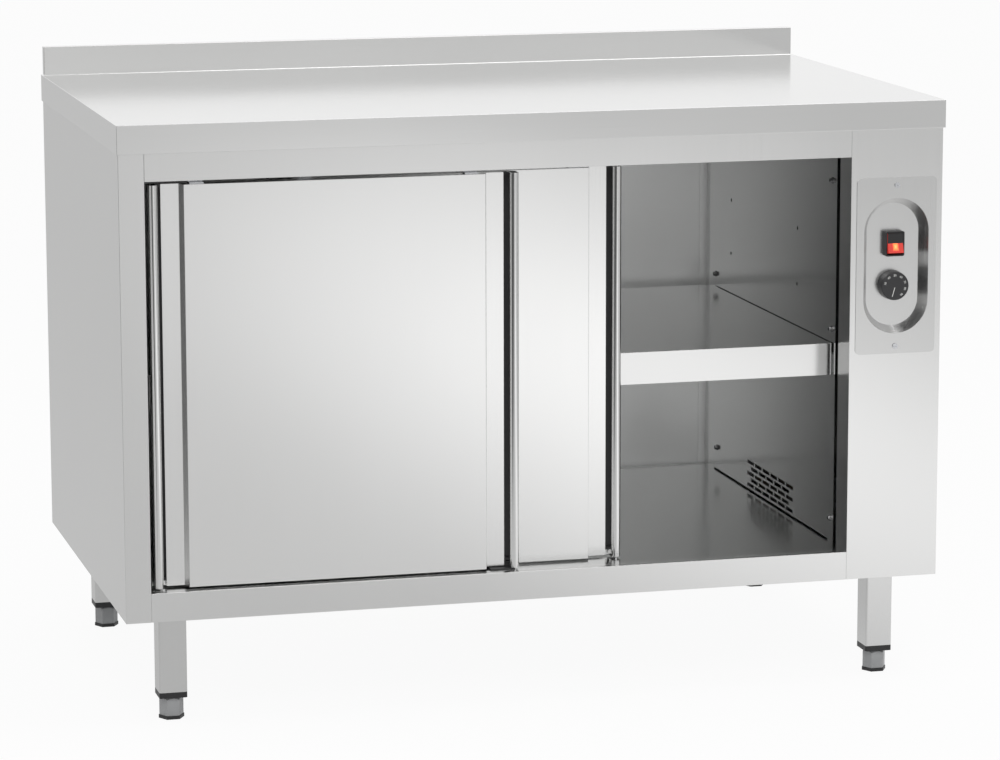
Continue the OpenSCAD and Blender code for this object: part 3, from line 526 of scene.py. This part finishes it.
def text_mesh(name, words, size, thick):
    """Words as a thin mesh, centred, facing the front."""
    bpy.ops.object.select_all(action="DESELECT")
    bpy.ops.object.text_add(location=(0, 0, 0), rotation=(math.radians(90), 0, 0))
    piece = started(name)
    piece.data.body = words
    piece.data.size = size
    piece.data.align_x = "CENTER"
    piece.data.align_y = "CENTER"
    piece.data.extrude = thick
    piece.data.resolution_u = 3
    bpy.ops.object.convert(target="MESH")
    bpy.ops.object.transform_apply(location=True, rotation=True, scale=True)
    return piece


def turned(piece, matrix):
    piece.data.transform(matrix)
    return piece


def joined(name, pieces):
    take(pieces[0])
    for piece in pieces:
        piece.select_set(True)
    bpy.ops.object.join()
    bpy.context.object.name = name
    return bpy.context.object


# Operators


class CABINET_OT_metalwork(Operator):
    """Round the folds of the worktop, the body's sheets and the legs"""

    bl_idname = "cabinet.metalwork"
    bl_label = "Folded metalwork"
    bl_options = {"UNDO"}

    def execute(self, context):
        fold = context.scene.cabinet_finish.fold
        for node in ("worktop", "left_side_panel", "right_side_panel", "left_stile", "top_rail",
                     "bottom_rail", "control_fascia", "shelf", "leg_front_left", "leg_front_right",
                     "leg_rear_left", "leg_rear_right", "leg_ends"):
            softened(node, fold)
        return {"FINISHED"}


class CABINET_OT_doors(Operator):
    """Round the doors' pressed sheets and smooth their edge bars"""

    bl_idname = "cabinet.doors"
    bl_label = "Sliding doors"
    bl_options = {"UNDO"}

    def execute(self, context):
        fold = context.scene.cabinet_finish.fold
        for door in ("front_door", "rear_door"):
            softened(f"{door}_skin", fold)
            softened(f"{door}_grips", 0)
        return {"FINISHED"}


class CABINET_OT_screws(Operator):
    """Flanged bolts that hold the partition"""

    bl_idname = "cabinet.screws"
    bl_label = "Partition bolts"
    bl_options = {"UNDO"}

    def execute(self, context):
        sizes = context.scene.cabinet_screws
        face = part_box("shelf")[1][0] + SHELF_GAP
        bpy.ops.object.select_all(action="DESELECT")
        bpy.ops.mesh.primitive_cylinder_add(
            vertices=24, radius=sizes.flange, depth=1.2 * MM, location=(0, 0, 0.6 * MM)
        )
        flange = started("flange")
        with Editing(flange, "EDGE") as edit:
            edit.choose(lambda e: all(v.co.z > 0.5 * MM for v in e.verts))
            bpy.ops.mesh.bevel(offset=0.5 * MM, segments=2)
        settle(flange)
        bpy.ops.object.select_all(action="DESELECT")
        bpy.ops.mesh.primitive_cylinder_add(
            vertices=6, radius=sizes.head, depth=sizes.height, location=(0, 0, sizes.height / 2 + 1.1 * MM)
        )
        head = started("head")
        with Editing(head, "FACE") as edit:
            edit.choose(lambda f: f.normal.z > 0.9)
            bpy.ops.mesh.bevel(offset=0.5 * MM, segments=2)
            edit.choose(lambda f: f.normal.z > 0.99)
            bpy.ops.mesh.inset(thickness=0.7 * MM, depth=-0.3 * MM)
        settle(head)
        model = joined("bolt", [flange, head])
        model.data.transform(Matrix.Rotation(math.radians(-90), 4, "Y"))
        for number, (y, z) in enumerate(BOLT_PLACES):
            bolt = model.copy()
            bolt.data = model.data.copy()
            bolt.name = f"partition_bolt_{number + 1}"
            context.scene.collection.objects.link(bolt)
            bolt.data.transform(Matrix.Translation((face, y, z)))
            hand_over(bolt, "cabinet", "zinc", look="bolt_painted_shade")
        bpy.data.objects.remove(model)
        return {"FINISHED"}


class CABINET_OT_knob(Operator):
    """Thermostat knob with its numbers and pointer"""

    bl_idname = "cabinet.knob"
    bl_label = "Knob"
    bl_options = {"UNDO"}

    def execute(self, context):
        dial = context.scene.cabinet_dial
        low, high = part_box("thermostat_knob")
        x, z = (low[0] + high[0]) / 2, (low[2] + high[2]) / 2
        softened("thermostat_knob", 0.7 * MM, 3)
        numbers = list(range(dial.first, dial.last + 1, dial.step))
        words = []
        for index, number in enumerate(numbers):
            share = index / (len(numbers) - 1)
            angle = dial.first_angle + share * (dial.last_angle - dial.first_angle)
            word = text_mesh(f"number_{number}", str(number), dial.digit, 0.06 * MM)
            radius = (high[0] - low[0]) * NUMBER_RADIUS_SHARE
            turned(word, Matrix.Translation((x, low[1], z)) @ Matrix.Rotation(angle, 4, "Y")
                   @ Matrix.Translation((0, 0, radius)))
            words.append(word)
        bpy.ops.object.select_all(action="DESELECT")
        bpy.ops.mesh.primitive_cube_add(size=1, location=(0, 0, 0))
        pointer = started("pointer")
        pointer.data.transform(Matrix.Diagonal((*POINTER_SIZE, 1)))
        with Editing(pointer, "EDGE") as edit:
            edit.choose(lambda e: abs((e.verts[0].co - e.verts[1].co).y) > 0.1 * MM)
            bpy.ops.mesh.bevel(offset=0.4 * MM, segments=3)
        turned(pointer, Matrix.Translation((x, low[1], z)) @ Matrix.Rotation(dial.pointer_angle, 4, "Y")
               @ Matrix.Translation((0, 0, POINTER_RADIUS)))
        marks = joined("knob_numbers", [*words, pointer])
        settle(marks)
        hand_over(marks, "knob", "knob_black", look="paint_white")
        return {"FINISHED"}


class CABINET_OT_switch(Operator):
    """Lit rocker and its housing"""

    bl_idname = "cabinet.switch"
    bl_label = "Switch"
    bl_options = {"UNDO"}

    def execute(self, context):
        rocker = softened("switch_rocker", 0.6 * MM, 3)
        # The rocker's upper faces get the black plastic: painted shade for the dark housing above the pressed-in
        # upper half.
        rocker.data.materials.append(finish("plastic_black"))
        low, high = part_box("switch_rocker")
        for face in rocker.data.polygons:
            face.material_index = int(face.center.z > low[2] + ROCKER_PAINTED_SHADE_FROM * (high[2] - low[2]))
        softened("switch_housing", 0.5 * MM, 2)
        return {"FINISHED"}


class CABINET_OT_control_plate(Operator):
    """Pressed plate round the controls"""

    bl_idname = "cabinet.control_plate"
    bl_label = "Control plate"
    bl_options = {"UNDO"}

    def execute(self, context):
        softened("control_plate", 0.5 * MM, 2)
        softened("plate_screws", 0.3 * MM, 2)
        return {"FINISHED"}


class CABINET_OT_feet(Operator):
    """Levelling feet, with their black base rings"""

    bl_idname = "cabinet.feet"
    bl_label = "Levelling feet"
    bl_options = {"UNDO"}

    def execute(self, context):
        for corner in ("front_left", "front_right", "rear_left", "rear_right"):
            foot = softened(f"foot_{corner}", 0.4 * MM, 2)
            foot.data.materials.append(finish("plastic_black"))
            for face in foot.data.polygons:
                face.material_index = int(face.center.z < FOOT_RING_TOP)
        return {"FINISHED"}


class CABINET_OT_finishes(Operator):
    """Give every CAD node that still shows its finish"""

    bl_idname = "cabinet.finishes"
    bl_label = "Finishes"
    bl_options = {"UNDO"}

    def execute(self, context):
        for name, node in NODES.items():
            for place in node.material_slots:
                place.material = finish(SLOT_OF[name])
            if not node.material_slots:
                raise RuntimeError(f"{name} has no material slot")
        return {"FINISHED"}


class CABINET_OT_studio(Operator):
    """Floor, lamps, sky and camera"""

    bl_idname = "cabinet.studio"
    bl_label = "Studio"
    bl_options = {"UNDO"}

    def execute(self, context):
        studio = context.scene.cabinet_studio
        self.make_camera(context, studio)
        self.make_floor(studio)
        self.make_lamp("key", studio.key, (-1.2, -3.6, 3.4), (0.1, 0, 0.4), 2.2)
        self.make_lamp("top", studio.top, (1.2, -0.6, 4.2), (0.4, 0, 0.4), 2.5)
        self.make_sky(context, studio)
        return {"FINISHED"}

    def make_camera(self, context, studio):
        data = bpy.data.cameras.new("photograph")
        data.sensor_width = 36
        data.lens = studio.lens
        data.clip_end = 200
        camera = bpy.data.objects.new("photograph", data)
        camera.location = studio.camera
        turn = Matrix.Rotation(-studio.yaw, 3, "Z") @ Matrix.Rotation(math.radians(90) - studio.pitch, 3, "X")
        camera.rotation_euler = (turn @ Matrix.Rotation(studio.roll, 3, "Z")).to_euler()
        context.scene.collection.objects.link(camera)
        context.scene.camera = camera

    def make_floor(self, studio):
        bpy.ops.object.select_all(action="DESELECT")
        bpy.ops.mesh.primitive_circle_add(vertices=96, radius=40, fill_type="NGON")
        floor = started("floor")
        with Editing(floor, "FACE"):
            bpy.ops.mesh.select_all(action="SELECT")
            bpy.ops.mesh.inset(thickness=30)
        material, g = new_material("floor")
        cloud = g.noise((0.7, 0.7, 0.7))
        g.surface(base_color=g.mix(cloud, shade(studio.floor, 0.98), shade(studio.floor, 1.02)), roughness=0.7)
        seen, mirrored = g.paths()
        x, y, _ = g.parts(g.place())
        # To the camera the floor is plain white. To mirrored rays it glows with a painted pool of light in front
        # of the cabinet and a painted dark patch to the front left, which the steel shows as painted reflections.
        reflected_dark_patch = g.smooth(x, -0.9, -1.7) * g.smooth(y, -0.5, -1.2)
        spread = g.place((0.85, 0.2, 1), (0.95, -3.4, 0)).length()
        painted_light_pool = g.smooth(spread, 1.0, 0.0)
        level = (painted_light_pool * 0.75 + 0.58) * (1 - reflected_dark_patch * 0.93)
        strength = seen + mirrored * level
        glow = g.add("ShaderNodeEmission", {}, (1, 1, 1, 1), strength)
        output = next(n for n in g.tree.nodes if n.type == "OUTPUT_MATERIAL")
        lit = Value(g, g.shader.outputs[0])
        mixed = g.add("ShaderNodeMixShader", {}, seen * 0.93 + mirrored * 0.9, lit, glow)
        g.feed(output.inputs[0], mixed)
        floor.data.materials.append(material)

    def make_lamp(self, name, power, place, target, size):
        data = bpy.data.lights.new(name, "AREA")
        data.energy = power
        data.size = size
        data.shape = "DISK"
        lamp = bpy.data.objects.new(name, data)
        lamp.location = place
        lamp.rotation_euler = (Vector(target) - Vector(place)).to_track_quat("-Z", "Y").to_euler()
        bpy.context.scene.collection.objects.link(lamp)

    def make_sky(self, context, studio):
        world = bpy.data.worlds.new("studio")
        context.scene.world = world
        world.use_nodes = True
        shader = next(n for n in world.node_tree.nodes if n.type == "BACKGROUND")
        g = Graph(world.node_tree, shader)
        seen, mirrored = g.paths()
        x, y, z = g.parts(Value(g, g.coordinates.outputs["Generated"]))
        reflected_dark_patch = g.smooth(x, -0.25, -0.6) * g.smooth(y, -0.1, -0.5) * g.smooth(z, 0.75, 0.35)
        level = (g.smooth(y, -0.5, 0.5) * 0.22 + 0.72) * (1 - reflected_dark_patch * 0.85)
        rest = (1 - (seen + mirrored)) * studio.sky
        g.feed(shader.inputs["Strength"], seen + mirrored * level + rest)
        g.feed(shader.inputs["Color"], (1, 1, 1, 1))


PIECES = (
    ("metalwork", "Folded metalwork"), ("doors", "Sliding doors"), ("screws", "Partition bolts"),
    ("knob", "Knob"), ("switch", "Switch"), ("control_plate", "Control plate"), ("feet", "Levelling feet"),
    ("finishes", "Finishes")
)


class CABINET_PT_panel(Panel):
    """Pieces and sizes of the cabinet"""

    bl_idname = "CABINET_PT_panel"
    bl_label = "Plate warmer"
    bl_space_type = "VIEW_3D"
    bl_region_type = "UI"
    bl_category = "Plate warmer"

    def draw(self, context):
        for group in ("cabinet_studio", "cabinet_finish", "cabinet_dial", "cabinet_screws"):
            box = self.layout.box()
            holder = getattr(context.scene, group)
            for name in holder.__annotations__:
                box.prop(holder, name)
        for name, label in (("studio", "Studio"), *PIECES):
            self.layout.operator(f"cabinet.{name}", text=label)


GROUPS = (
    (CabinetFinish, "cabinet_finish"), (CabinetDial, "cabinet_dial"), (CabinetScrews, "cabinet_screws"),
    (CabinetStudio, "cabinet_studio")
)
TOOLS = (
    CABINET_OT_studio, CABINET_OT_metalwork, CABINET_OT_doors, CABINET_OT_screws, CABINET_OT_knob,
    CABINET_OT_switch, CABINET_OT_control_plate, CABINET_OT_feet, CABINET_OT_finishes, CABINET_PT_panel
)


def register():
    for group, name in GROUPS:
        bpy.utils.register_class(group)
        setattr(bpy.types.Scene, name, PointerProperty(type=group))
    for tool in TOOLS:
        bpy.utils.register_class(tool)


def unregister():
    for tool in reversed(TOOLS):
        bpy.utils.unregister_class(tool)
    for group, name in reversed(GROUPS):
        delattr(bpy.types.Scene, name)
        bpy.utils.unregister_class(group)


def main():
    register()
    bpy.context.scene.view_settings.view_transform = "Standard"
    bpy.ops.cabinet.studio()
    for name, _ in PIECES:
        getattr(bpy.ops.cabinet, name)()


if __name__ == "__main__":
    main()
